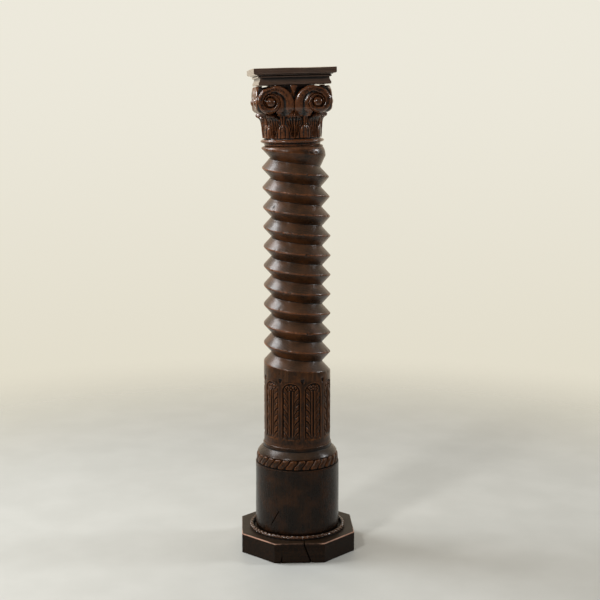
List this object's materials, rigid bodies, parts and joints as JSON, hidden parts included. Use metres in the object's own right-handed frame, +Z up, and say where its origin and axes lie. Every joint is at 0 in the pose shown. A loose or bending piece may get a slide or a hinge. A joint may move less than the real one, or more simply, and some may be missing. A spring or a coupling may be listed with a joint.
{
  "type": "carved wooden press-screw column",
  "caption": "Tall carved oak column with an octagonal plinth, rope-banded drum, arched panels, spiral screw-thread shaft, volute capital and square top board.",
  "frame": {"origin": "middle of the plinth's underside, on the floor", "axes": "+Z up along the column, -Y the front, square to the plinth's front face"},
  "size_m": [0.355, 0.355, 1.5116],
  "materials": {
    "plinth_oak": "dark stained oak board with worn pinkish edges, drying cracks and a waxed sheen",
    "ring_oak": "dark stained carved oak moulding, waxed, worn to lighter brown on its ridge",
    "trunk_oak": "very dark aged oak with long grain, glossy old wax, grey-brown on the thread's upper flanks and reddish wear on its crests",
    "capital_oak": "dark reddish carved oak with an old varnish, darker in the cuts",
    "abacus_oak": "dark oak board, smooth glossy varnish with a faint grain"
  },
  "bodies": {
    "root": {"plinth": "plinth_oak", "foot_ring": "ring_oak", "trunk": "trunk_oak", "capital": "capital_oak", "abacus": "abacus_oak"}
  },
  "joints": []
}
